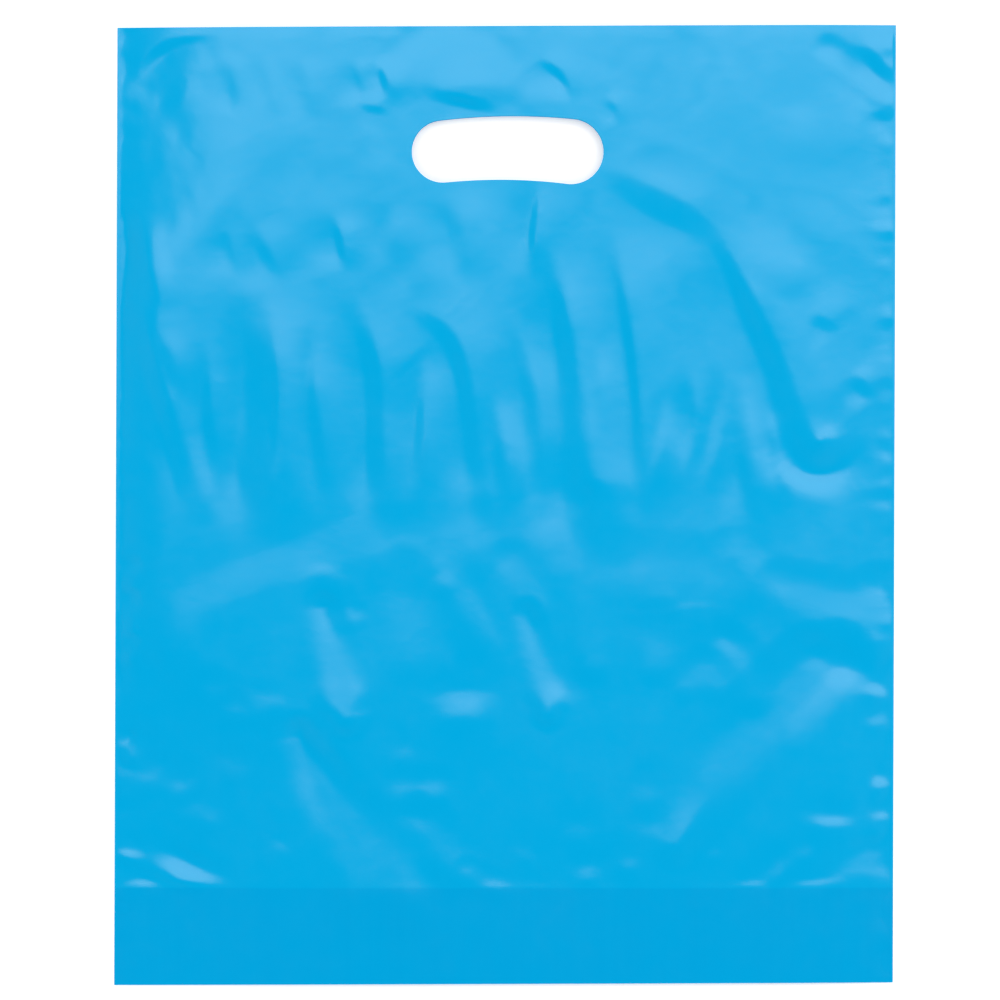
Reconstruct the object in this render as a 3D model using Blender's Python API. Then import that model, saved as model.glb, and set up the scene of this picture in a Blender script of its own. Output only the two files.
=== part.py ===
"""Plastic carrier bag with a die-cut hand hole, made from one web of film.

The web is folded in two, its bottom is tucked up inside as a gusset, and a hot knife cuts and welds both sides
at once, so the bag is a single piece with no joints. It lies on its back panel, as an empty bag rests: X runs
across it, the mouth faces +Y, and a little air holds the front panel off the back one. The origin is under the
bag's middle, on the surface that it lies on.
"""

import math

import bmesh
import bpy

# Driving dimensions, in metres
BAG_WIDTH = 0.305
BAG_LENGTH = 0.375
GUSSET_DEPTH = 0.0375  # half of the web that is tucked up inside
FILM = 0.00006
WELD_WIDTH = 0.0015  # side welds, where every layer is one

# How far the front panel stands off the back one, along the bag's middle
LIFT_BOTTOM = 0.0030
LIFT_MIDDLE = 0.0110
LIFT_MOUTH = 0.0080

# Hand hole: a slot with round ends, bowed so that its ends hang lower than its middle
HOLE_LENGTH = 0.0752
HOLE_LEFT_RADIUS = 0.0122
HOLE_RIGHT_RADIUS = 0.0128
HOLE_BOW_RADIUS = 0.225
HOLE_FROM_MOUTH = 0.0352  # mouth to the hole's upper edge
HOLE_OFF_CENTRE = 0.0007
HOLE_SIDE_STEPS = 10
HOLE_END_STEPS = 12

# Layout worked out from the above
HALF_WIDTH = BAG_WIDTH / 2
HALF_CHAMBER = HALF_WIDTH - WELD_WIDTH
BOTTOM = -BAG_LENGTH / 2
MOUTH = BAG_LENGTH / 2
GUSSET_TOP = BOTTOM + GUSSET_DEPTH
SLIT = FILM / 3  # what is left between two layers where a weld starts
STEP_RUN = 0.010  # length over which four pressed layers thin to two
OVERRUN = 0.010  # how far a cutter runs past the film

COLUMNS = 28  # facets across the chamber
GUSSET_ROWS = 4  # facets up the gusset
PANEL_ROWS = 24  # facets from the gusset to the mouth

FILM_COLOUR = (0.0, 0.395, 0.787, 1.0)
FILM_ROUGHNESS = 0.32


def blend(start, end, share):
    return start + (end - start) * share


def smooth_step(value):
    value = min(max(value, 0.0), 1.0)
    return value * value * (3.0 - 2.0 * value)


def stack(y):
    """Thickness of the pressed layers at the side welds: four in the gusset, two above it."""
    four_layers = 4 * FILM + 3 * SLIT
    two_layers = 2 * FILM + SLIT
    return blend(four_layers, two_layers, smooth_step((y - GUSSET_TOP) / STEP_RUN))


def lift(x, y):
    """Height of the air under the front panel: a parabola across the bag and another along it."""
    across = max(1.0 - (x / HALF_CHAMBER) ** 2, 0.0)
    along = (y - BOTTOM) / BAG_LENGTH
    crown = (
        LIFT_BOTTOM * (1.0 - along) * (1.0 - 2.0 * along)
        + LIFT_MIDDLE * 4.0 * along * (1.0 - along)
        + LIFT_MOUTH * along * (2.0 * along - 1.0)
    )
    return across * crown


def front_outside(x, y):
    return stack(y) + lift(x, y)


def front_inside(x, y):
    return front_outside(x, y) - FILM


def leg_sides(x, y):
    """Heights of the tucked web's upper and lower sides, which meet the panels' folds at the bottom."""
    up = (y - BOTTOM) / GUSSET_DEPTH
    fold_height = (front_inside(x, GUSSET_TOP) + FILM) / 2
    upper = blend(front_inside(x, BOTTOM), fold_height + FILM, up)
    lower = blend(FILM, fold_height - FILM, up)
    return upper, lower


def stations(start, end, count):
    return [blend(start, end, step / count) for step in range(count + 1)]


CHAMBER_COLUMNS = stations(-HALF_CHAMBER, HALF_CHAMBER, COLUMNS)
WHOLE_COLUMNS = [-HALF_WIDTH, *CHAMBER_COLUMNS, HALF_WIDTH]
GUSSET_STATIONS = stations(BOTTOM, GUSSET_TOP, GUSSET_ROWS)
PANEL_STATIONS = stations(GUSSET_TOP, MOUTH, PANEL_ROWS)
DOWN_THE_FRONT = [*reversed(PANEL_STATIONS), *reversed(GUSSET_STATIONS[:-1])]


def envelope_profile(x):
    """The bag's outside as a closed (y, z) outline: down the front panel and back along the surface below."""
    front = [(y, front_outside(x, y)) for y in DOWN_THE_FRONT]
    return [*front, (BOTTOM, 0.0), (MOUTH, 0.0)]


def cavity_profile(x):
    """The bag's inside, open past the mouth and forked round the tucked web."""
    front_tip = BOTTOM + 2 * FILM
    front = [(y, front_inside(x, y)) for y in [MOUTH + OVERRUN, *DOWN_THE_FRONT[:-1]]]
    over_leg = [(y, leg_sides(x, y)[0]) for y in GUSSET_STATIONS[1:-1]]
    under_leg = [(y, leg_sides(x, y)[1]) for y in reversed(GUSSET_STATIONS[1:-1])]
    ridge_upper, ridge_lower = leg_sides(x, GUSSET_TOP - FILM)
    return [
        *front,
        (front_tip, front_inside(x, front_tip)),
        *over_leg,
        (GUSSET_TOP - FILM, ridge_upper),
        (GUSSET_TOP, (ridge_upper + ridge_lower) / 2),
        (GUSSET_TOP - FILM, ridge_lower),
        *under_leg,
        (front_tip, FILM),
        (MOUTH + OVERRUN, FILM),
    ]


def pocket_profile(x):
    """The pleat under the tucked web, open below the bottom folds."""
    up_leg = [(y, leg_sides(x, y)[0] - FILM) for y in GUSSET_STATIONS[:-1]]
    down_leg = [(y, leg_sides(x, y)[1] + FILM) for y in reversed(GUSSET_STATIONS[:-1])]
    tip = GUSSET_TOP - 2 * FILM
    return [
        (BOTTOM - OVERRUN, up_leg[0][1]),
        *up_leg,
        (tip, sum(leg_sides(x, tip)) / 2),
        *down_leg,
        (BOTTOM - OVERRUN, down_leg[-1][1]),
    ]


def mesh_object(name, points, faces):
    mesh = bpy.data.meshes.new(name)
    mesh.from_pydata(points, [], faces)
    tidy = bmesh.new()
    tidy.from_mesh(mesh)
    bmesh.ops.recalc_face_normals(tidy, faces=tidy.faces)
    tidy.to_mesh(mesh)
    tidy.free()
    made = bpy.data.objects.new(name, mesh)
    bpy.context.scene.collection.objects.link(made)
    return made


def loft(name, columns, profile):
    """A closed solid through the profile's outlines at each column, with every facet split the same way."""
    outlines = [profile(x) for x in columns]
    size = len(outlines[0])
    points = [(x, y, z) for x, outline in zip(columns, outlines) for y, z in outline]
    faces = [list(range(size)), list(range(len(points) - size, len(points)))]
    for column in range(len(columns) - 1):
        for step in range(size):
            here = column * size + step
            after = column * size + (step + 1) % size
            faces.append([here, after, after + size])
            faces.append([here, after + size, here + size])
    return mesh_object(name, points, faces)


def hole_outline():
    """The hand hole in (x, y): two bowed edges joined by round ends, centred on the hole."""
    reach = HOLE_LENGTH - HOLE_LEFT_RADIUS - HOLE_RIGHT_RADIUS
    half_angle = reach / 2 / HOLE_BOW_RADIUS
    radii = (HOLE_LEFT_RADIUS, HOLE_RIGHT_RADIUS)

    def on_bow(angle, offset):
        radius = HOLE_BOW_RADIUS + offset
        return radius * math.sin(angle), radius * math.cos(angle) - HOLE_BOW_RADIUS

    def edge(side):
        return [
            on_bow(angle, side * blend(*radii, (angle + half_angle) / (2 * half_angle)))
            for angle in stations(-half_angle, half_angle, HOLE_SIDE_STEPS)
        ]

    def end(angle, radius, start):
        centre_x, centre_y = on_bow(angle, 0.0)
        turns = stations(start - angle, start - angle - math.pi, HOLE_END_STEPS)[1:-1]
        return [(centre_x + radius * math.cos(turn), centre_y + radius * math.sin(turn)) for turn in turns]

    return [
        *edge(1.0),
        *end(half_angle, HOLE_RIGHT_RADIUS, math.pi / 2),
        *reversed(edge(-1.0)),
        *end(-half_angle, HOLE_LEFT_RADIUS, -math.pi / 2),
    ]


def hole_cutter():
    outline = hole_outline()
    upper_edge = max(y for _, y in outline)
    centre_y = MOUTH - HOLE_FROM_MOUTH - upper_edge
    top = LIFT_MIDDLE + OVERRUN
    levels = ((-OVERRUN, 0), (top, len(outline)))
    points = [(x + HOLE_OFF_CENTRE, y + centre_y, z) for z, _ in levels for x, y in outline]
    faces = [[first + step for step in range(len(outline))] for _, first in levels]
    for step in range(len(outline)):
        after = (step + 1) % len(outline)
        faces.append([step, after, after + len(outline), step + len(outline)])
    return mesh_object("hand_hole_cutter", points, faces)


def cut(target, cutter):
    cutter.hide_render = True
    cutter.display_type = "WIRE"
    boolean = target.modifiers.new(cutter.name, "BOOLEAN")
    boolean.operation = "DIFFERENCE"
    boolean.solver = "EXACT"
    boolean.object = cutter


def film_material():
    material = bpy.data.materials.new("blue_film")
    material.use_nodes = True
    shader = material.node_tree.nodes["Principled BSDF"]
    shader.inputs["Base Color"].default_value = FILM_COLOUR
    shader.inputs["Roughness"].default_value = FILM_ROUGHNESS
    shader.inputs["Metallic"].default_value = 0.0
    return material


def bag_film():
    """The web of film: the outside envelope less its inside, its gusset pleat and its hand hole."""
    film = loft("bag_film", WHOLE_COLUMNS, envelope_profile)
    film.data.materials.append(film_material())
    cut(film, loft("inside_cutter", CHAMBER_COLUMNS, cavity_profile))
    cut(film, loft("pleat_cutter", CHAMBER_COLUMNS, pocket_profile))
    cut(film, hole_cutter())


def main():
    for old in list(bpy.data.objects):
        bpy.data.objects.remove(old, do_unlink=True)
    bag_film()


main()
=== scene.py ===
"""Look of the plastic carrier bag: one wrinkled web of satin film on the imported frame, and a soft studio."""

import math

import bmesh
import bpy
import numpy as np
from bpy.props import FloatProperty, FloatVectorProperty, IntProperty, PointerProperty
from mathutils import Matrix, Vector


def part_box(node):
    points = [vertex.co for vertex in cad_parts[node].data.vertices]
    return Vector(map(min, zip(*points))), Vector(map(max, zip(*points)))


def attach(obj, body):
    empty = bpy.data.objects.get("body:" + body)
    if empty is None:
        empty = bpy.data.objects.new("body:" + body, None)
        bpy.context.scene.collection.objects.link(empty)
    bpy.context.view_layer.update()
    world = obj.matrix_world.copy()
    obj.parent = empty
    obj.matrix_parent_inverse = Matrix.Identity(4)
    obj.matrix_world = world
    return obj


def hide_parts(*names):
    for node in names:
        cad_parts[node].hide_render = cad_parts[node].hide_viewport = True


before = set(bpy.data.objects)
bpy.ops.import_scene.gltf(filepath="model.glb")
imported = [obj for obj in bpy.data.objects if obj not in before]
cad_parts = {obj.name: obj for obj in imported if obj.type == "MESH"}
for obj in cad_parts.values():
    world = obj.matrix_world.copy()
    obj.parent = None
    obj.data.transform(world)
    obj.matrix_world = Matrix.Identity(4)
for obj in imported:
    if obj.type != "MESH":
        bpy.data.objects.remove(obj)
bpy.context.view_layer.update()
film_low, film_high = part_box("bag_film")

bl_info = {
    "name": "Carrier Bag Film",
    "version": (1, 0, 0),
    "blender": (4, 5, 0),
    "location": "View3D > Sidebar > Carrier Bag",
    "description": "Makes a wrinkled plastic carrier bag and the studio that it lies in",
    "category": "Object",
}

MM = 0.001
HALF_WIDTH = (film_high.x - film_low.x) / 2
BOTTOM, MOUTH = film_low.y, film_high.y
PRESSED = 0.00007  # from one layer's middle to the next one's where they are pressed together
FOLD_REACH = 0.00018  # how far the film turns back at a fold
FOLD_STEPS = 6  # facets round a fold
FLOOR_REACH = 6.0
FLOOR_LEVEL = -0.0003


# --- Creases. Each is the middle line of a slope, in millimetres from the middle of the bag ---------------

# (middle line as (x, y, width), slope, run of the gentle sides): the film falls to the line's left-hand side.
SIDE_PUCKERS = (
    # the upright puckers across the middle, drawn upwards so that they fall to the left
    (((-112, 2, 4), (-115, 22, 6), (-117, 42, 5), (-117, 66, 3)), 0.25, 9),
    (((-97, -14, 14), (-98, 22, 16), (-96, 52, 14), (-99, 84, 12)), 0.17, 12),
    (((-87, 2, 5), (-89, 34, 6), (-90, 62, 5)), 0.12, 11),
    (((-70, -2, 6), (-74, 26, 6), (-76, 46, 5), (-74, 72, 3)), 0.23, 12),
    (((-50, -10, 11), (-51, 28, 9), (-53, 56, 8), (-60, 82, 6)), 0.205, 15),
    (((-36, 0, 7), (-34, 24, 6), (-33, 44, 5), (-33, 60, 3)), 0.21, 11),
    (((-10, -8, 8), (-13, 22, 8), (-17, 50, 7), (-24, 67, 7), (-38, 76, 5)), 0.205, 14),
    (((0, -4, 5), (-2, 16, 6), (-5, 44, 3)), 0.21, 9),
    (((13, -2, 6), (11, 28, 7), (8, 50, 6), (3, 70, 4)), 0.21, 11),
    (((32, -22, 12), (28, 12, 13), (25, 45, 11), (21, 75, 8), (16, 100, 5)), 0.215, 14),
    (((36, 26, 3.5), (36, 44, 3.5), (35, 62, 3.5)), 0.09, 8),
    (((54, -6, 6), (52, 20, 7), (50, 46, 6), (47, 70, 5), (41, 106, 4)), 0.21, 12),
    (((56, 4, 3), (60, 24, 4), (62, 42, 3)), 0.16, 7),
    (((70, 12, 4), (73, 30, 5), (72, 52, 3)), 0.20, 8),
    (((77, 4, 5), (82, 26, 6), (86, 52, 4)), 0.20, 9),
    (((96, -8, 6), (93, 18, 7), (91, 50, 5)), 0.21, 9),
    (((108, 4, 3), (105, 20, 4), (102, 36, 3)), 0.14, 7),
    # shorter ones under the hand hole's level
    (((-106, 90, 3), (-108, 100, 3), (-109, 108, 3)), 0.09, 8),
    (((-88, 88, 5), (-94, 98, 5), (-99, 110, 5)), 0.10, 11),
    (((-63, 92, 3.2), (-65, 102, 3.2), (-68, 114, 3.2)), 0.21, 11),
    (((-46, 94, 6), (-46, 106, 6), (-44, 118, 6)), 0.07, 12),
    (((-18, 88, 7), (-19, 104, 7), (-24, 122, 7)), 0.09, 14),
    (((10, 90, 5), (10, 104, 4), (13, 128, 3)), 0.22, 9),
    # beside and above the hand hole
    (((-106, 152, 5), (-107, 162, 5), (-109, 174, 5)), 0.05, 9),
    (((-79, 152, 5), (-80, 164, 5), (-82, 176, 5)), 0.07, 9),
    (((-94, 152, 5), (-94, 164, 5), (-95, 176, 5)), 0.06, 9),
    (((-136, 150, 7), (-130, 160, 7), (-125, 170, 7)), 0.05, 12),
    (((-55, 158, 3), (-58, 166, 3), (-60, 174, 3)), 0.12, 8),
    (((-46, 159, 3.6), (-48, 166, 3.6), (-51, 174, 3.6)), 0.19, 11),
)

SHADED_FOLDS = (
    # the long fold from the hand hole down to the right, drawn back up it
    (((140, 26, 8), (129, 19, 12), (119, 20, 12), (112, 34, 8)), 0.20, 8),
    (((121, 14, 15), (112, 32, 12), (105, 54, 10), (97, 72, 9), (88, 92, 6.5), (80, 108, 5.5)), 0.21, 19),
    (((85, 100, 6), (72, 111, 10), (58, 118, 11), (46, 125, 9), (35, 132, 6)), 0.085, 14),
    # the corners
    (((-112, 184, 2), (-128, 182, 4), (-138, 177, 5), (-146, 166, 3)), 0.16, 8),
    (((154, 162, 5.5), (146, 171, 5.5), (137, 181, 5.5)), 0.26, 12),
    # beside the hand hole
    (((-3, 155, 4), (-16, 158, 4), (-30, 161, 4)), 0.26, 12),
    (((-45, 154, 2.4), (-52, 155, 2.4), (-59, 157, 2.4)), 0.11, 7),
    (((26, 158, 2.4), (21, 168, 2.4), (12, 174, 2.4)), 0.20, 8),
    (((44, 149, 2), (42, 155, 2), (38, 159, 2)), 0.12, 5),
    # the left side, where the film leans out to the weld
    (((-137, 76, 6.5), (-143, 92, 6.5), (-145, 106, 6.5), (-148, 120, 6.5)), 0.24, 7),
    (((-127, 42, 5), (-131, 55, 5), (-135, 68, 5)), 0.10, 8),
    (((-121, -6, 9), (-130, 26, 8), (-138, 50, 7), (-145, 76, 6), (-150, 98, 4)), 0.14, 9),
    # small ones to the right
    (((144, 41, 5), (139, 46, 5), (134, 50, 5)), 0.14, 6),
    (((130, 67, 5), (124, 71, 5), (118, 73, 5)), 0.08, 8),
    (((153, 151, 2.5), (146, 152, 2.5), (142, 154, 2.5)), 0.15, 5),
)

LIT_FOLDS = (
    # slopes that face the mouth, drawn left to right: the arcs below the puckers
    (
        (
            (-136, -52, 15),
            (-122, -37, 15),
            (-108, -30, 15),
            (-92, -24, 15),
            (-76, -20, 17),
            (-62, -14, 16),
            (-50, -6, 12),
        ),
        0.033,
        13,
    ),
    (((-26, -20, 9), (-17, -32, 9), (-9, -47, 9), (-2, -62, 9)), 0.060, 6),
    (((36, -40, 2), (58, -42, 2), (76, -39, 2), (96, -43, 2)), 0.040, 3),
    # blobs between the blades
    (((-32, -82, 11), (-20, -78, 11), (-9, -78, 11), (0, -81, 11)), 0.085, 8),
    (((-45, -100, 5), (-40, -97, 5), (-33, -96, 5)), 0.05, 6),
    # the fan of folds that runs down to the tuck
    (((-93, -131, 4), (-88, -133, 4), (-83, -137, 4)), 0.07, 6),
    (((25, -147, 7), (33, -144, 7), (40, -147, 7)), 0.09, 6),
    (((43, -141, 5), (49, -140, 5), (55, -141, 5)), 0.07, 6),
    (((21, -129, 7), (29, -128, 7), (38, -130, 7)), 0.05, 8),
    (((48, -128, 6), (56, -127, 6), (64, -128, 6)), 0.05, 8),
    (((46, -111, 7), (56, -113, 7), (64, -111, 7)), 0.04, 8),
    (((6, -132, 5), (10, -137, 5), (14, -143, 5)), 0.07, 6),
    (((76, -137, 4), (82, -136, 4), (87, -136, 4)), 0.05, 5),
    # the right-hand side
    (((101, -151, 6), (107, -143, 6), (114, -134, 6)), 0.10, 6),
    (((113, -139, 5), (118, -136, 5), (124, -135, 5)), 0.06, 5),
    (((88, -150, 3.5), (97, -149, 3.5), (104, -150, 3.5)), 0.12, 5),
    (((114, -121, 5), (126, -124, 5), (142, -124, 5)), 0.12, 6),
    (((108, -150, 4), (122, -149, 4), (134, -147, 4)), 0.13, 5),
    (((138, -70, 6), (146, -73, 6), (154, -76, 6)), 0.11, 6),
    (((140, -87, 5), (147, -84, 5), (154, -82, 5)), 0.11, 6),
    (((141, -124, 6), (148, -125, 6), (154, -127, 6)), 0.08, 5),
    (((142, -109, 5.5), (148, -109, 5.5), (154, -109, 5.5)), 0.15, 5),
    # the bottom left corner
    (((-154, -133, 5), (-147, -135, 5), (-140, -139, 5)), 0.17, 4),
    (((-143, -136, 8), (-131, -140, 8), (-119, -146, 8), (-105, -150, 8)), 0.19, 5),
    (((-154, -147, 4.5), (-142, -148, 4.5), (-128, -150, 4.5)), 0.19, 4),
    # lit slopes in the sheen round the long fold
    (((104, 32, 6), (108, 16, 6), (118, 9, 6), (130, 12, 6), (142, 26, 6)), 0.08, 6),
    # nicks in the tuck
    (((-148, -161, 1.6), (-146, -162, 1.6), (-144, -162, 1.6)), 0.16, 3),
    (((-133, -174, 2.2), (-130, -176, 2.2), (-127, -178, 2.2)), 0.14, 3),
    (((148, -161, 2), (151, -161, 2), (154, -161, 2)), 0.18, 3),
    (((148, -156, 2), (151, -156, 2), (154, -155, 2)), 0.10, 3),
)

# (middle line as (x, y, width), lean towards the mouth, softness of the edge, in millimetres): level patches
# of film between folds, each leaning as one piece. A negative lean is away from the mouth.
FACETS = (
    # the two blades
    (((-71, -40, 4), (-68, -52, 8), (-66, -64, 11), (-64, -75, 14), (-62, -82, 8)), 0.056, 7),
    (((-64, -44, 4), (-58, -43, 4)), 0.041, 4.5),
    (((9, -43, 3), (12, -55, 6), (14, -65, 7), (17, -75, 8), (17, -81, 4)), 0.056, 6),
    (((3, -22, 8), (8, -30, 9), (12, -39, 6)), 0.027, 6),
    # between the blades and the welds
    (((-115, -70, 6), (-108, -76, 9), (-98, -79, 10), (-91, -77, 6)), 0.051, 6),
    (((-106, -80, 7), (-101, -90, 4)), 0.041, 6),
    (((-108, -100, 3), (-105, -103, 4)), 0.045, 6),
    (((-138, -64, 4), (-136, -76, 7), (-136, -84, 5)), 0.032, 7.5),
    (((-41, -111, 7), (-34, -112, 10), (-27, -110, 7)), 0.061, 6),
    # the fan of folds that runs down to the tuck
    (
        (
            (-80, -90, 3),
            (-74, -103, 11),
            (-67, -116, 16),
            (-58, -131, 21),
            (-50, -150, 28),
            (-45, -172, 30),
        ),
        0.052,
        9,
    ),
    (((-34, -121, 5), (-28, -127, 8), (-24, -136, 9), (-16, -142, 8)), 0.051, 7.5),
    (((-14, -144, 6), (-8, -147, 6), (-2, -149, 5)), 0.065, 4.5),
    # the right-hand side
    (((60, -14, 20), (84, -14, 30), (120, -15, 30)), 0.011, 16),
    (((108, -31, 6), (116, -36, 14), (127, -42, 20), (139, -45, 26), (150, -42, 24)), 0.047, 9),
    (((86, -52, 3), (92, -58, 7), (96, -66, 9), (97, -74, 7)), 0.042, 7),
    (((72, -70, 6), (78, -66, 11), (84, -70, 7)), 0.037, 6),
    (
        (
            (130, -61, 13),
            (121, -65, 18),
            (110, -76, 20),
            (99, -89, 18),
            (88, -103, 17),
            (77, -119, 8),
            (68, -133, 3),
        ),
        0.038,
        11,
    ),
    (((132, -146, 5), (140, -141, 12), (150, -141, 15)), 0.071, 6),
    # the bottom left corner and the left margin
    (((-152, -103, 6), (-143, -107, 5), (-134, -105, 9), (-127, -107, 11)), 0.061, 6),
    (((-127, -112, 9), (-121, -119, 6), (-116, -123, 4)), 0.054, 7.5),
    (((-146, -24, 5), (-146, -29, 5)), 0.075, 3),
    (((-146, -36, 3), (-146, -48, 3)), 0.061, 3),
    (((-146, -53, 3), (-146, -59, 3)), 0.061, 3),
    (((-147, -91, 3), (-147, -98, 3)), 0.075, 3),
    # the grey patches just under the puckers
    (((-45, -16, 15), (-28, -18, 18), (-12, -11, 14)), 0.021, 11),
    (((-40, -30, 13), (-38, -45, 14), (-36, -58, 12)), 0.013, 9),
    (((33, 0, 9), (32, -30, 9), (34, -62, 8)), 0.014, 6),
    (((50, -26, 12), (64, -31, 22), (80, -32, 22), (92, -26, 12)), 0.024, 13),
    (((60, -48, 10), (60, -62, 7)), 0.032, 7.5),
    (((44, -4, 12), (43, -14, 8)), 0.012, 7.5),
    (((16, -10, 10), (24, -12, 10)), -0.016, 12),
    # dark stripe beside the right blade, and the dark fold beside the right-hand sheen
    (((16, -18, 8), (21, -40, 12), (23, -66, 10)), -0.012, 10),
    (((90, -22, 4), (98, -32, 8), (106, -45, 7), (118, -51, 7), (131, -58, 6)), -0.014, 10),
    (((-72, -31, 9), (-64, -35, 8)), -0.025, 4.5),
    (((-24, -34, 5), (-20, -48, 8), (-14, -60, 8)), -0.015, 6),
    # broad leans in the sheen
    (((-120, 133, 6), (-92, 135, 13), (-60, 133, 9)), -0.012, 14),
    (((-138, 91, 9), (-100, 91, 11), (-62, 90, 9)), 0.009, 12),
    (((118, 140, 12), (134, 136, 12), (150, 130, 12)), -0.011, 12),
    (((122, 106, 9), (128, 98, 12), (132, 90, 8)), -0.013, 10.5),
    (((58, 131, 7), (78, 121, 10), (94, 106, 12), (112, 92, 9)), 0.011, 9),
    (((-43, 168, 14), (-31, 175, 24), (-14, 176, 24), (-1, 169, 14)), 0.020, 6),
    (((8, 161, 5), (14, 165, 8), (19, 163, 6)), 0.021, 6),
    (((126, 178, 5), (138, 169, 8), (151, 158, 6)), 0.032, 4.5),
    (((-128, 155, 8), (-124, 168, 6)), -0.015, 9),
    (((-107, 160, 5), (-107, 170, 5)), -0.015, 6),
    (((-144, 160, 4), (-142, 162, 4)), 0.036, 4.5),
    (((-50, 128, 7), (-46, 108, 8), (-44, 92, 7)), -0.007, 9),
)

# (y, width) in metres: how wide the margin is that leans out to the left-hand weld
LEFT_MARGIN = (
    (-0.1875, 0.140),
    (-0.112, 0.120),
    (-0.092, 0.105),
    (-0.066, 0.030),
    (-0.025, 0.028),
    (0.0, 0.034),
    (0.025, 0.028),
    (0.050, 0.022),
    (0.078, 0.018),
    (0.100, 0.026),
    (0.124, 0.050),
    (0.150, 0.072),
    (0.200, 0.095),
)
# (place across, height) in millimetres: where the cut edge stands up between its scallops
LIP_BUMPS = (
    (-99, 0.05),
    (-73, 0.10),
    (-37, 0.09),
    (-12, 0.05),
    (10, 0.08),
    (38, 0.05),
    (69, 0.06),
    (91, 0.09),
    (124, 0.07),
)

# (cell across, cell along, share of the depth, number added to the seed): soft unevenness, coarse to fine
CRUMPLE_OCTAVES = (
    (0.034, 0.041, 1.0, 5),
    (0.015, 0.019, 0.50, 6),
    (0.0055, 0.011, 0.22, 7),
    (0.0026, 0.005, 0.05, 10),
)

# Side welds, in metres: cells of the puckers, of their strength and of their reach, and how far they run
GATHER_CELL = 0.0048
GATHER_STRENGTH_CELL = 0.026
GATHER_REACH_CELL = 0.011
GATHER_REACH = 0.0065
GATHER_START = 0.0012  # the weld itself holds the film level

# Mouth, in metres
LIP_CELL = 0.013
LIP_BUMP_REACH = 0.0052
BACK_LIP_CELL = 0.021
BACK_LIP_REACH = 0.012
BACK_LIP_HEIGHT = 0.0005

# Tuck, in metres: how far its upper edge, the creases and the patches take to die out there
TUCK_EDGE = (0.0002, 0.0016)
CREASE_END = (0.0005, 0.004)
PATCH_END = (0.022, 0.024)
CREASE_LEFT_IN_TUCK = 0.1
CRUMPLE_LEFT_IN_TUCK = 0.25

# Back panel, in metres
BACK_CELLS = (0.037, 0.052)
BACK_WAVES = 0.00012
BACK_CLEARANCE = 0.00003
BACK_HELD_REACH = 0.012

# Rows of facets: spacing down the tuck's front, and counts up the back and the legs
TUCK_ROW = 0.0023
BACK_ROWS_BELOW_HOLE = 20
BACK_ROWS_AT_HOLE = 26
BACK_ROWS_ABOVE_HOLE = 7
BELOW_HOLE, ABOVE_HOLE = 0.026, 0.018
LEG_ROWS = 5


def smooth_step(value):
    value = np.clip(value, 0.0, 1.0)
    return value * value * (3.0 - 2.0 * value)


def ease_out(value):
    """Rises steeply from 0 and levels out at 1."""
    return 1.0 - (1.0 - np.clip(value, 0.0, 1.0)) ** 2


def curved(points, steps=6):
    """A smooth line through the points, with this many steps to each span."""
    ends = np.asarray(points, float)
    padded = np.vstack([2 * ends[0] - ends[1], ends, 2 * ends[-1] - ends[-2]])
    line = []
    for before, start, end, after in zip(padded, padded[1:], padded[2:], padded[3:]):
        for t in np.arange(steps) / steps:
            line.append(
                0.5
                * (
                    2 * start
                    + (end - before) * t
                    + (2 * before - 5 * start + 4 * end - after) * t**2
                    + (3 * start - before - 3 * end + after) * t**3
                )
            )
    return np.array([*line, ends[-1]])


def along_line(x, y, line):
    """For each point: distance to the line, which side it is on, and how far along the line it is."""
    steps = np.linalg.norm(np.diff(line, axis=0), axis=1)
    begins = np.concatenate([[0.0], np.cumsum(steps)])
    nearest = np.full(x.shape, np.inf)
    side, along = np.zeros_like(x), np.zeros_like(x)
    for start, end, begun, step in zip(line, line[1:], begins, steps):
        direction = (end - start) / step
        dx, dy = x - start[0], y - start[1]
        travelled = dx * direction[0] + dy * direction[1]
        held = np.clip(travelled, 0.0, step)
        before = -np.inf if begun == 0.0 else 0.0
        beyond = np.inf if begun + step >= begins[-1] else step
        distance = np.hypot(dx - held * direction[0], dy - held * direction[1])
        closer = distance < nearest
        nearest = np.where(closer, distance, nearest)
        left = direction[0] * dy - direction[1] * dx
        side = np.where(closer, np.sign(left), side)
        along = np.where(closer, begun + np.clip(travelled, before, beyond), along)
    return nearest, side, along, begins


def near_line(x, y, line, reach):
    """Which points are in the line's own box, grown by this reach."""
    low, high = line.min(0) - reach, line.max(0) + reach
    return (x > low[0]) & (x < high[0]) & (y > low[1]) & (y < high[1])


def slope_height(x, y, crease):
    """Height that one crease adds: gently up, down its slope to the left, and gently up again."""
    points, slope, run = crease
    path = curved(np.array(points) * MM)
    line, widths = path[:, :2], path[:, 2]
    run = run * MM
    near = near_line(x, y, line, widths.max() + 2.5 * run)
    height = np.zeros_like(x)
    distance, side, along, begins = along_line(x[near], y[near], line)
    total = begins[-1]
    width = np.maximum(np.interp(along, begins, widths), 0.001)
    fade = min(0.5 * total, 0.035)
    ends = smooth_step((along + 0.1 * fade) / fade) * smooth_step((total - along + 0.1 * fade) / fade)
    across = side * distance
    past = np.maximum(np.abs(across) - width / 2, 0.0)
    share = np.clip(across / width + 0.5, 0.0, 1.0)
    fall = 0.5 - (0.6 * share + 0.4 * smooth_step(share))
    height[near] = slope * width / 1.2 * fall * np.exp(-((past / run) ** 2)) * ends
    return height


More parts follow.
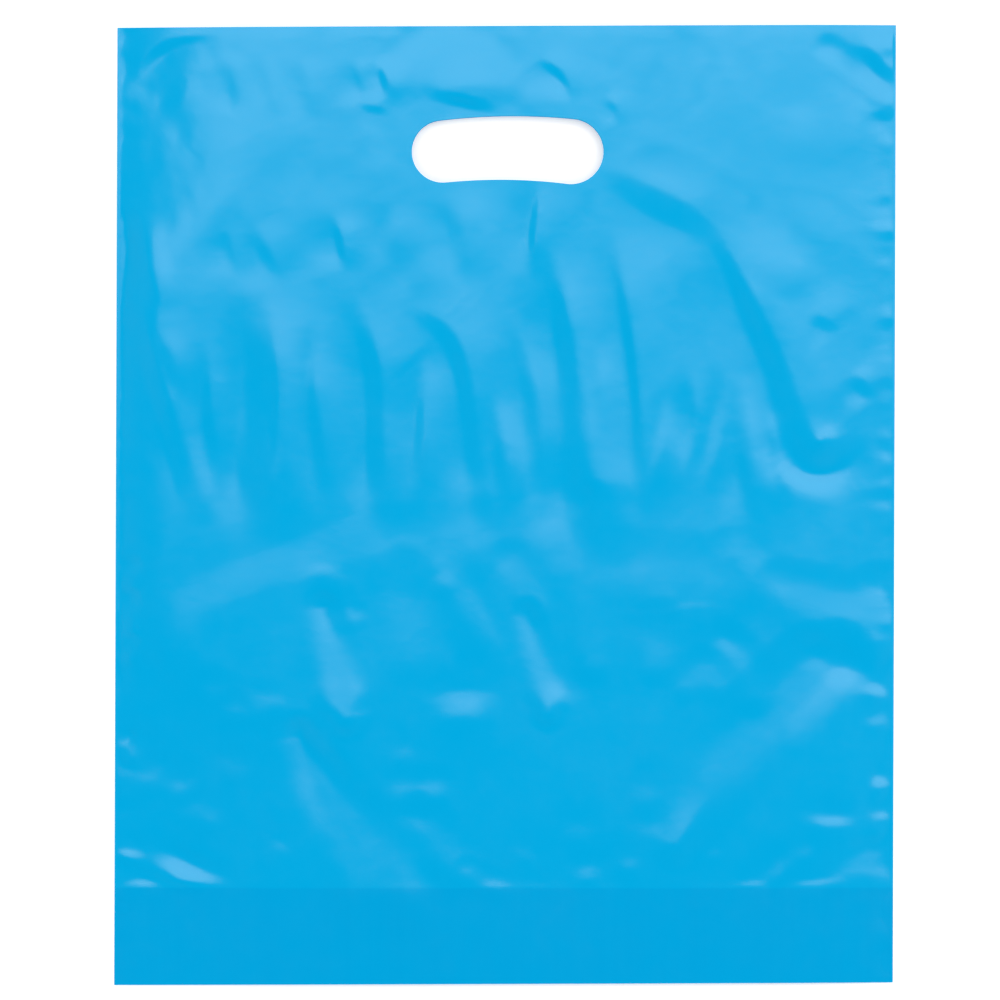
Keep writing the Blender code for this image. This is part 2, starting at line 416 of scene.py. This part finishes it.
def facet_height(x, y, facet):
    """Height that one leaning patch adds: it tips about its own middle and dies out past its edge."""
    points, lean, soft = facet
    path = curved(np.array(points) * MM, steps=4)
    line, widths = path[:, :2], path[:, 2]
    soft = soft * MM
    near = near_line(x, y, line, widths.max() / 2 + soft)
    height = np.zeros_like(x)
    distance, _, along, begins = along_line(x[near], y[near], line)
    half_width = np.interp(along, begins, widths) / 2
    inside = smooth_step((half_width + soft - distance) / (1.5 * soft))
    middle = (line[:, 1].min() + line[:, 1].max()) / 2
    height[near] = -lean * (y[near] - middle) * inside
    return height


def value_noise(x, y, cell, seed):
    """Smooth noise from -1 to 1 with about one bump a cell."""
    lattice = np.random.RandomState(seed).uniform(-1.0, 1.0, (128, 128))
    u, v = x / cell[0] + 40.3, y / cell[1] + 40.7
    column, row = np.floor(u).astype(int), np.floor(v).astype(int)
    fu, fv = smooth_step(u - column), smooth_step(v - row)

    def corner(dc, dr):
        return lattice[(column + dc) % 128, (row + dr) % 128]

    lower = corner(0, 0) * (1 - fu) + corner(1, 0) * fu
    upper = corner(0, 1) * (1 - fu) + corner(1, 1) * fu
    return lower * (1 - fv) + upper * fv


# --- The film ---------------------------------------------------------------------------------------------


def stations(start, end, count):
    """Ends and inner marks of this many equal steps."""
    return np.linspace(start, end, count + 1)


def swell(x, y, settings):
    """Height of the air under the front panel: nearly level, with margins that lean out to the welds."""
    inside = HALF_WIDTH - settings.weld_width
    left_margin = sum(np.interp(y + step * MM, *zip(*LEFT_MARGIN)) for step in range(-14, 15, 4)) / 8
    left = ease_out((x + inside) / left_margin)
    right = ease_out((inside - x) / settings.right_margin)
    from_bottom = 1.0 - np.exp(-(y - BOTTOM) / settings.lift_run)
    crown = settings.lift_bottom + (settings.lift_middle - settings.lift_bottom) * from_bottom
    opened = smooth_step((y - MOUTH + 0.16) / 0.16) * (settings.lift_mouth - settings.lift_middle)
    return left * right * (crown + opened)


def weld_gathers(x, y, settings):
    """Short puckers that the hot knife draws in along both side welds."""
    from_weld = HALF_WIDTH - np.abs(x)
    far_side = np.where(x > 0, 0.9, 0.0)
    ripple = value_noise(far_side, y, (1.0, GATHER_CELL), settings.seed + 1)
    strength = 0.35 + 0.65 * np.abs(value_noise(far_side, y, (1.0, GATHER_STRENGTH_CELL), settings.seed + 2))
    further = value_noise(far_side, y, (1.0, GATHER_REACH_CELL), settings.seed + 3)
    reach = GATHER_REACH * (1.0 + 0.5 * further)
    held = 1.0 - np.exp(-from_weld / GATHER_START)
    return settings.gather_depth * ripple * strength * held * np.exp(-((from_weld / reach) ** 2))


def mouth_lip(x, y, settings):
    """The cut edge of the mouth: it curls down a little and stands up here and there."""
    near = smooth_step(1.0 - (MOUTH - y) / settings.lip_reach) ** 1.5
    curl = -settings.lip_depth * (1.0 - 0.5 * value_noise(x, 0 * y, (LIP_CELL, 1.0), settings.seed + 4))
    for place, stand in LIP_BUMPS:
        curl = curl + stand * MM * np.exp(-(((x - place * MM) / LIP_BUMP_REACH) ** 2))
    return near * curl


def tuck_step(y, settings):
    """The two extra layers of the tuck, felt through the front panel."""
    start, run = TUCK_EDGE
    return settings.tuck_depth * (1.0 - smooth_step((y - settings.tuck_top - start) / run))


def past_tuck(y, end, settings):
    """Share, from 0 in the tuck to 1 above it, that is kept of what dies out at the tuck's upper edge."""
    below, run = end
    return smooth_step((y - settings.tuck_top + below) / run)


def front_height(x, y, settings):
    """Height of the front panel over the back one."""
    height = swell(x, y, settings) + tuck_step(y, settings)
    folds = np.zeros_like(x)
    patches = np.zeros_like(x)
    for crease in (*SIDE_PUCKERS, *SHADED_FOLDS, *LIT_FOLDS):
        folds = folds + slope_height(x, y, crease)
    for facet in FACETS:
        patches = patches + facet_height(x, y, facet)
    crumple = sum(
        share * value_noise(x, y, (across, along), settings.seed + number)
        for across, along, share, number in CRUMPLE_OCTAVES
    )
    above_tuck = past_tuck(y, CREASE_END, settings)
    kept = CREASE_LEFT_IN_TUCK + (1.0 - CREASE_LEFT_IN_TUCK) * above_tuck
    calm = CRUMPLE_LEFT_IN_TUCK + (1.0 - CRUMPLE_LEFT_IN_TUCK) * above_tuck
    height = height + settings.crease_depth * folds * kept
    height = height + settings.crease_depth * patches * past_tuck(y, PATCH_END, settings)
    height = height + settings.crumple_depth * crumple * calm
    height = height + weld_gathers(x, y, settings) + mouth_lip(x, y, settings)
    return height


def held_down(x):
    """Share of freedom that the back panel has: none at the welds."""
    return smooth_step((HALF_WIDTH - np.abs(x)) / BACK_HELD_REACH)


def back_height(x, y, settings):
    waves = value_noise(x, y, BACK_CELLS, settings.seed + 8)
    return BACK_CLEARANCE + held_down(x) * BACK_WAVES * (1.0 + waves)


def back_lip(x, y, settings):
    """How far the back panel's cut edge stands up inside the mouth."""
    uneven = 0.5 + 0.5 * value_noise(x, 0 * y, (BACK_LIP_CELL, 1.0), settings.seed + 9)
    return held_down(x) * BACK_LIP_HEIGHT * smooth_step(1.0 - (MOUTH - y) / BACK_LIP_REACH) * uneven


def above(height, lower):
    """The film's height, kept clear of the layer below without a hard edge."""
    room = height - lower
    return lower + PRESSED + 0.5 * (room + np.sqrt(room**2 + 0.00012**2))


def web_rows(settings):
    """Where the web's rows lie along the bag: down the front, up one leg of the tuck, and up the back."""
    band = round((settings.tuck_top - BOTTOM) / TUCK_ROW)
    front = [*stations(MOUTH, settings.tuck_top, settings.front_rows)]
    front += [*stations(settings.tuck_top, BOTTOM + FOLD_REACH, band)[1:]]
    low_hole, high_hole = settings.hole_level - BELOW_HOLE, settings.hole_level + ABOVE_HOLE
    back = [*stations(BOTTOM + FOLD_REACH, low_hole, BACK_ROWS_BELOW_HOLE)]
    back += [*stations(low_hole, high_hole, BACK_ROWS_AT_HOLE)[1:]]
    back += [*stations(high_hole, MOUTH, BACK_ROWS_ABOVE_HOLE)[1:]]
    legs = [*stations(BOTTOM + FOLD_REACH, settings.tuck_top - FOLD_REACH, LEG_ROWS)]
    return front, legs, back


def film_grid(settings):
    """Points of the folded web as (rows, columns, 3), from the mouth's front edge to its back one."""
    across = film_columns(settings)
    front_ys, leg_ys, back_ys = web_rows(settings)
    pinch = smooth_step((HALF_WIDTH - np.abs(across)) / settings.weld_width)
    rows = []

    def flat_row(y, heights):
        rows.append(np.stack([across, np.full_like(across, y), heights], axis=1))

    def turn(y, reach, start, end):
        """A fold: the film turns round from one height to another past the line y."""
        for angle in stations(0.0, math.pi, FOLD_STEPS)[1:-1]:
            middle, radius = (start + end) / 2, (start - end) / 2
            flat_row(y + reach * math.sin(angle), middle + radius * math.cos(angle))

    x, y = np.meshgrid(across, np.array(back_ys))
    low = back_height(x, y, settings) + back_lip(x, y, settings)
    x, y = np.meshgrid(across, np.array(front_ys))
    under = back_height(x, y, settings)
    front = above(under + pinch * front_height(x, y, settings), under + back_lip(x, y, settings))
    for row, y_row in enumerate(front_ys):
        flat_row(y_row, front[row])
    under_front = front[-1] - PRESSED * (0.2 + pinch)
    ridge_upper = 0.5 * (front[settings.front_rows] + low[2]) + PRESSED * 0.5
    ridge_lower = ridge_upper - PRESSED
    over_back = low[0] + PRESSED * pinch
    turn(BOTTOM + FOLD_REACH, -FOLD_REACH, front[-1], under_front)
    for share, y_row in zip(np.linspace(0, 1, len(leg_ys)), leg_ys):
        flat_row(y_row, under_front + (ridge_upper - under_front) * share)
    turn(leg_ys[-1], FOLD_REACH, ridge_upper, ridge_lower)
    for share, y_row in zip(np.linspace(1, 0, len(leg_ys)), reversed(leg_ys)):
        flat_row(y_row, over_back + (ridge_lower - over_back) * share)
    turn(BOTTOM + FOLD_REACH, -FOLD_REACH, over_back, low[0])
    for row, y_row in enumerate(back_ys):
        flat_row(y_row, low[row])
    grid = np.array(rows)
    x, y = grid[..., 0].copy(), grid[..., 1].copy()
    grid[..., 0] += settings.out_of_square * y
    grid[..., 1] += settings.out_of_square * x
    return grid


def film_columns(settings):
    """Where the web's columns lie across the bag, closer together in the welds."""
    weld = settings.weld_width
    middle = stations(-HALF_WIDTH + weld, HALF_WIDTH - weld, settings.columns)
    edge = np.array([0.0, 0.25, 0.55, 0.8]) * weld
    return np.concatenate([-HALF_WIDTH + edge, middle, (HALF_WIDTH - edge)[::-1]])


def hand_hole(x, y, settings):
    """How far each point is outside the hand hole's edge, and the nearest point on that edge."""
    bow = settings.hole_bow
    half_angle = (settings.hole_length - settings.hole_left - settings.hole_right) / 2 / bow
    dx, dy = x - settings.hole_off_centre, y - settings.hole_level + bow
    angle = np.clip(np.arctan2(dx, dy), -half_angle, half_angle)
    radius = settings.hole_left + (settings.hole_right - settings.hole_left) * (angle / half_angle + 1) / 2
    centre_x, centre_y = bow * np.sin(angle), bow * np.cos(angle)
    away = np.hypot(dx - centre_x, dy - centre_y)
    edge_x = centre_x + (dx - centre_x) * radius / away + settings.hole_off_centre
    edge_y = centre_y + (dy - centre_y) * radius / away + settings.hole_level - bow
    return away - radius, edge_x, edge_y


def film_mesh(settings):
    """The web as a mesh, with both panels cut to the hand hole's exact edge."""
    grid = film_grid(settings)
    row_count, column_count = grid.shape[:2]
    outside, edge_x, edge_y = hand_hole(grid[..., 0], grid[..., 1], settings)
    inside = outside < 0
    on_edge = np.zeros_like(inside)
    for axis in (0, 1):
        first = (slice(None, -1), slice(None)) if axis == 0 else (slice(None), slice(None, -1))
        second = (slice(1, None), slice(None)) if axis == 0 else (slice(None), slice(1, None))
        crosses = inside[first] != inside[second]
        first_nearer = np.abs(outside[first]) < np.abs(outside[second])
        on_edge[first] |= crosses & first_nearer
        on_edge[second] |= crosses & ~first_nearer
    grid[..., 0] = np.where(on_edge, edge_x, grid[..., 0])
    grid[..., 1] = np.where(on_edge, edge_y, grid[..., 1])
    faces = []
    for row in range(row_count - 1):
        for column in range(column_count - 1):
            corners = [(row, column), (row + 1, column), (row + 1, column + 1), (row, column + 1)]
            held = [corner for corner in corners if on_edge[corner] or not inside[corner]]
            if len(held) < 3 or all(on_edge[corner] for corner in held):
                continue
            faces.append([r * column_count + c for r, c in held])
    mesh = bpy.data.meshes.new("carrier_bag_film")
    mesh.from_pydata(grid.reshape(-1, 3).tolist(), [], faces)
    mesh.validate()
    return mesh


def film_piece(settings):
    mesh = film_mesh(settings)
    mesh.polygons.foreach_set("use_smooth", [True] * len(mesh.polygons))
    edit = bmesh.new()
    edit.from_mesh(mesh)
    loose = [vertex for vertex in edit.verts if not vertex.link_faces]
    bmesh.ops.delete(edit, geom=loose, context="VERTS")
    edit.to_mesh(mesh)
    edit.free()
    piece = bpy.data.objects.new("carrier_bag", mesh)
    bpy.context.scene.collection.objects.link(piece)
    return piece


# --- Finishes ---------------------------------------------------------------------------------------------


class Finish:
    """A material's node tree, with short calls to add and join its nodes."""

    def __init__(self, name):
        self.material = bpy.data.materials.new(name)
        self.material.use_nodes = True
        self.tree = self.material.node_tree
        self.shader = self.tree.nodes["Principled BSDF"]

    def add(self, kind, inputs=None, **options):
        node = self.tree.nodes.new(kind)
        for option, value in options.items():
            setattr(node, option, value)
        for socket, value in (inputs or {}).items():
            self.feed(node.inputs[socket], value)
        return node

    def feed(self, socket, value):
        if isinstance(value, bpy.types.NodeSocket):
            self.tree.links.new(value, socket)
        else:
            socket.default_value = value

    def place(self, scale=(1.0, 1.0, 1.0)):
        """The point on the piece, in metres, stretched by this scale."""
        where = self.add("ShaderNodeTexCoord")
        inputs = {0: where.outputs["Object"], 1: scale}
        return self.add("ShaderNodeVectorMath", inputs, operation="MULTIPLY").outputs[0]

    def noise(self, scale, detail=2.0, roughness=0.5):
        """Cloudy noise from 0 to 1, with this many clouds to the metre on each axis."""
        inputs = {"Vector": self.place(scale), "Scale": 1.0, "Detail": detail, "Roughness": roughness}
        return self.add("ShaderNodeTexNoise", inputs).outputs["Fac"]

    def spread(self, value, before, after):
        """Moves one range of values to another, and holds them there."""
        inputs = {"Value": value}
        inputs.update({"From Min": before[0], "From Max": before[1], "To Min": after[0], "To Max": after[1]})
        return self.add("ShaderNodeMapRange", inputs).outputs["Result"]

    def sum(self, first, second):
        return self.add("ShaderNodeMath", {0: first, 1: second}, operation="ADD").outputs[0]

    def product(self, first, second):
        return self.add("ShaderNodeMath", {0: first, 1: second}, operation="MULTIPLY").outputs[0]

    def mix(self, share, first, second):
        inputs = {0: share, 6: first, 7: second}
        return self.add("ShaderNodeMix", inputs, data_type="RGBA").outputs[2]

    def raised(self, height, depth, under=None):
        """A bump this deep, in metres, on top of the one under it."""
        inputs = {"Height": height, "Distance": depth, "Strength": 1.0}
        if under is not None:
            inputs["Normal"] = under
        return self.add("ShaderNodeBump", inputs).outputs["Normal"]


def film_finish(settings):
    """Satin film: sky blue all through, denser where it lies four deep, with the fine marks of its making."""
    finish = Finish("blue_film_satin")
    single = (*settings.film_colour, 1.0)
    dense = (*settings.tuck_colour, 1.0)
    up_the_bag = finish.add("ShaderNodeSeparateXYZ", {0: finish.place()}).outputs["Y"]
    edge = settings.tuck_top
    four_deep = finish.spread(up_the_bag, (edge - 0.0003, edge + 0.0005), (1.0, 0.0))
    clouds = finish.noise((24.0, 24.0, 24.0), detail=3.0)
    die_lines = finish.noise((420.0, 3.0, 3.0), detail=2.0)
    thickness = finish.sum(
        finish.spread(clouds, (0.3, 0.7), (-0.10, 0.10)),
        finish.spread(die_lines, (0.3, 0.7), (-0.06, 0.06)),
    )
    share = finish.sum(finish.product(four_deep, 0.9), thickness)
    held = finish.add("ShaderNodeClamp", {"Value": share}).outputs[0]
    finish.feed(finish.shader.inputs["Base Color"], finish.mix(held, single, dense))
    haze = finish.noise((130.0, 130.0, 130.0), detail=4.0, roughness=0.6)
    satin = finish.sum(
        finish.spread(haze, (0.3, 0.7), (settings.roughness - 0.02, settings.roughness + 0.02)),
        finish.spread(clouds, (0.3, 0.7), (-0.02, 0.02)),
    )
    finish.feed(finish.shader.inputs["Roughness"], satin)
    crinkle = finish.noise((150.0, 190.0, 150.0), detail=3.0, roughness=0.55)
    peel = finish.noise((800.0, 650.0, 800.0), detail=2.0)
    bump = finish.raised(crinkle, settings.crinkle_depth)
    bump = finish.raised(die_lines, settings.crinkle_depth * 0.06, bump)
    bump = finish.raised(peel, settings.crinkle_depth * 0.10, bump)
    finish.feed(finish.shader.inputs["Normal"], bump)
    finish.shader.inputs["IOR"].default_value = 1.5
    return finish.material


def floor_finish(settings):
    """Matt white card with a faint tooth."""
    finish = Finish("white_card")
    colour = settings.floor_colour
    tooth = finish.noise((900.0, 900.0, 900.0), detail=3.0)
    clouds = finish.noise((3.0, 3.0, 3.0), detail=2.0)
    shade = tuple(channel * 0.985 for channel in colour)
    finish.feed(finish.shader.inputs["Base Color"], finish.mix(clouds, (*colour, 1.0), (*shade, 1.0)))
    finish.feed(finish.shader.inputs["Normal"], finish.raised(tooth, 0.00001))
    finish.shader.inputs["Roughness"].default_value = 0.9
    finish.shader.inputs["Specular IOR Level"].default_value = 0.2
    finish.shader.inputs["Emission Color"].default_value = (1.0, 1.0, 1.0, 1.0)
    finish.shader.inputs["Emission Strength"].default_value = settings.floor_glow
    return finish.material


# --- Settings, operators and panel ------------------------------------------------------------------------


def size_setting(name, description, default, least=0.0):
    return FloatProperty(
        name=name,
        description=description,
        default=default,
        min=least,
        precision=5,
        subtype="DISTANCE",
        unit="LENGTH",
    )


def plain_setting(name, description, default, least=0.0, most=100.0):
    return FloatProperty(
        name=name, description=description, default=default, min=least, max=most, precision=4
    )


def count_setting(name, description, default, least=8):
    return IntProperty(name=name, description=description, default=default, min=least)


def colour_setting(name, description, default):
    return FloatVectorProperty(
        name=name, description=description, default=default, min=0.0, max=1.0, size=3, subtype="COLOR"
    )


class FilmSettings(bpy.types.PropertyGroup):
    """Sizes and colours of the bag's film."""

    weld_width: size_setting("Weld width", "Width of the side welds", 0.0015)
    tuck_top: size_setting("Tuck top", "Place of the tuck's upper fold, along the bag", BOTTOM + 0.0375, -1.0)
    tuck_depth: size_setting("Tuck depth", "How far the tuck lifts the front panel", 0.00003)
    lift_bottom: size_setting("Lift at the bottom", "Air under the front panel at the bottom", 0.0018)
    lift_middle: size_setting("Lift in the middle", "Air under the front panel half-way up", 0.0036)
    right_margin: size_setting("Right margin", "Width of the margin beside the right-hand weld", 0.045)
    lift_run: size_setting("Lift run", "How far up the bag the bottom's lift settles", 0.034)
    lift_mouth: size_setting("Lift at the mouth", "How far the mouth stands open", 0.0042)
    hole_length: size_setting("Hole length", "Length of the hand hole", 0.0752)
    hole_left: size_setting("Hole left radius", "Radius of the hand hole's left end", 0.0122)
    hole_right: size_setting("Hole right radius", "Radius of the hand hole's right end", 0.0128)
    hole_bow: size_setting("Hole bow", "Radius of the curve that the hand hole follows", 0.225)
    hole_level: size_setting("Hole level", "Middle of the hand hole, along the bag", MOUTH - 0.0477, -1.0)
    hole_off_centre: size_setting("Hole off centre", "How far the hole is off the middle", 0.0007, -1.0)
    crease_depth: plain_setting("Creases", "Depth of the folds and puckers, as a share of the full one", 1.0)
    crumple_depth: size_setting("Crumple", "Depth of the soft unevenness between folds", 0.00016)
    gather_depth: size_setting("Weld gathers", "Depth of the short puckers along the welds", 0.00042)
    lip_depth: size_setting("Lip curl", "How far the cut edge of the mouth curls", 0.00008)
    lip_reach: size_setting("Lip reach", "How far the mouth's curl runs down the bag", 0.005)
    crinkle_depth: size_setting("Crinkle", "Depth of the film's finest crinkles", 0.00004)
    columns: count_setting("Columns", "Facets across the bag", 254)
    front_rows: count_setting("Front rows", "Facets down the front above the tuck", 276)
    out_of_square: plain_setting("Out of square", "How askew the cuts are, as a slope", 0.0034, -1.0)
    seed: count_setting("Seed", "Picks another set of small unevenness", 11, 0)
    film_colour: colour_setting("Film colour", "Colour of a single layer", (0.0, 0.395, 0.745))
    tuck_colour: colour_setting("Tuck colour", "Colour where the film lies four deep", (0.0, 0.360, 0.710))
    roughness: plain_setting("Roughness", "How soft the film's sheen is", 0.165, most=1.0)


class StageSettings(bpy.types.PropertyGroup):
    """Camera, lights and floor."""

    camera_height: size_setting("Camera height", "Height of the camera over the bag", 3.0)
    framed_width: size_setting("Framed width", "Width of floor that the camera takes in", 0.3918)
    camera_x: size_setting("Camera across", "Place of the camera across the bag", -0.002, -1.0)
    camera_y: size_setting("Camera along", "Place of the camera along the bag", 0.002, -1.0)
    softbox_height: size_setting("Softbox height", "Height of the soft light", 4.0)
    softbox_left: size_setting("Softbox left", "Left edge of the soft light", -0.9, -5.0)
    softbox_right: size_setting("Softbox right", "Right edge of the soft light", 3.0, -5.0)
    softbox_near: size_setting("Softbox near", "Edge of the soft light next to the bag", 0.42, -5.0)
    softbox_edge: size_setting("Softbox edge", "Where the soft light's dimmer edge begins", 0.145, -5.0)
    softbox_far: size_setting("Softbox far", "Edge of the soft light beyond the mouth", 2.6, -5.0)
    softbox_glow: plain_setting("Softbox glow", "Radiance of the soft light", 2.35)
    room_glow: plain_setting("Room light", "Light from the room's walls", 1.06)
    floor_glow: plain_setting("Floor glow", "Light from under the floor", 0.30)
    floor_colour: colour_setting("Floor colour", "Colour of the floor", (0.93, 0.93, 0.93))


class CARRIER_OT_make_film(bpy.types.Operator):
    """Make the bag's film in place of its plain solid"""

    bl_idname = "carrier.make_film"
    bl_label = "Bag Film"

    def execute(self, context):
        settings = context.scene.carrier_film
        film = film_piece(settings)
        film.data.materials.append(film_finish(settings))
        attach(film, "root")
        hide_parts("bag_film")
        return {"FINISHED"}


class CARRIER_OT_make_stage(bpy.types.Operator):
    """Make the floor, the lights and the camera"""

    bl_idname = "carrier.make_stage"
    bl_label = "Studio"

    def execute(self, context):
        settings = context.scene.carrier_stage
        floor_piece(settings)
        softbox(settings)
        room_light(context.scene, settings)
        context.scene.camera = camera(settings)
        context.scene.view_settings.view_transform = "Standard"
        return {"FINISHED"}


def floor_piece(settings):
    """The pale card that the bag lies on."""
    ends = ((-1, -1), (1, -1), (1, 1), (-1, 1))
    corners = [(x * FLOOR_REACH, y * FLOOR_REACH, FLOOR_LEVEL) for x, y in ends]
    mesh = bpy.data.meshes.new("floor")
    mesh.from_pydata(corners, [], [(0, 1, 2, 3)])
    mesh.materials.append(floor_finish(settings))
    floor = bpy.data.objects.new("floor", mesh)
    bpy.context.scene.collection.objects.link(floor)


def softbox(settings):
    """A soft light beyond the mouth, with a dimmer strip along its near edge."""
    strips = (
        ("softbox", settings.softbox_near, settings.softbox_far, settings.softbox_glow),
        ("softbox_edge", settings.softbox_edge, settings.softbox_near, 0.4 * settings.softbox_glow),
    )
    width = settings.softbox_right - settings.softbox_left
    across = (settings.softbox_left + settings.softbox_right) / 2
    for name, near, far, glow in strips:
        light = bpy.data.lights.new(name, "AREA")
        light.shape = "RECTANGLE"
        light.size, light.size_y = width, far - near
        light.energy = glow * math.pi * width * (far - near)
        lamp = bpy.data.objects.new(name, light)
        lamp.location = (across, (near + far) / 2, settings.softbox_height)
        lamp.visible_camera = False
        bpy.context.scene.collection.objects.link(lamp)


def room_light(scene, settings):
    """A pale room: bright to the eye and to matt surfaces, dark overhead in reflections."""
    world = bpy.data.worlds.new("pale_room")
    world.use_nodes = True
    world.cycles.sampling_method = "NONE"
    tree = world.node_tree
    nodes, links = tree.nodes, tree.links
    background = nodes["Background"]
    path = nodes.new("ShaderNodeLightPath")
    direction = nodes.new("ShaderNodeTexCoord")
    split = nodes.new("ShaderNodeSeparateXYZ")
    links.new(direction.outputs["Generated"], split.inputs[0])

    def by_height(low, high, at_walls, overhead):
        """Glow that changes smoothly from the walls' to the ceiling's."""
        glow = nodes.new("ShaderNodeMapRange")
        glow.interpolation_type = "SMOOTHSTEP"
        values = {"From Min": low, "From Max": high, "To Min": at_walls, "To Max": overhead}
        for name, value in values.items():
            glow.inputs[name].default_value = value
        links.new(split.outputs["Z"], glow.inputs["Value"])
        return glow.outputs["Result"]

    reflected = nodes.new("ShaderNodeMix")
    links.new(path.outputs["Is Glossy Ray"], reflected.inputs["Factor"])
    links.new(by_height(0.82, 0.95, settings.room_glow, 0.02), reflected.inputs["A"])
    links.new(by_height(0.10, 0.70, 0.5 * settings.room_glow, 0.0), reflected.inputs["B"])
    seen = nodes.new("ShaderNodeMix")
    seen.inputs["B"].default_value = 0.96
    links.new(path.outputs["Is Camera Ray"], seen.inputs["Factor"])
    links.new(reflected.outputs["Result"], seen.inputs["A"])
    links.new(seen.outputs["Result"], background.inputs["Strength"])
    background.inputs["Color"].default_value = (1.0, 1.0, 1.0, 1.0)
    scene.world = world


def camera(settings):
    """Looks straight down at the bag."""
    lens = bpy.data.cameras.new("camera")
    lens.sensor_width = 36.0
    lens.lens = lens.sensor_width * settings.camera_height / settings.framed_width
    lens.clip_end = 50.0
    eye = bpy.data.objects.new("camera", lens)
    eye.location = (settings.camera_x, settings.camera_y, settings.camera_height)
    bpy.context.scene.collection.objects.link(eye)
    return eye


class CARRIER_PT_panel(bpy.types.Panel):
    """Carrier bag"""

    bl_label = "Carrier Bag"
    bl_space_type = "VIEW_3D"
    bl_region_type = "UI"
    bl_category = "Carrier Bag"

    def draw(self, context):
        groups = (
            (context.scene.carrier_film, CARRIER_OT_make_film),
            (context.scene.carrier_stage, CARRIER_OT_make_stage),
        )
        for settings, operator in groups:
            box = self.layout.box()
            for name in settings.__annotations__:
                box.prop(settings, name)
            box.operator(operator.bl_idname)


CLASSES = (FilmSettings, StageSettings, CARRIER_OT_make_film, CARRIER_OT_make_stage, CARRIER_PT_panel)


def register():
    for cls in CLASSES:
        bpy.utils.register_class(cls)
    bpy.types.Scene.carrier_film = PointerProperty(type=FilmSettings)
    bpy.types.Scene.carrier_stage = PointerProperty(type=StageSettings)


def unregister():
    del bpy.types.Scene.carrier_stage
    del bpy.types.Scene.carrier_film
    for cls in reversed(CLASSES):
        bpy.utils.unregister_class(cls)


def main():
    register()
    bpy.ops.carrier.make_film()
    bpy.ops.carrier.make_stage()


if __name__ == "__main__":
    main()
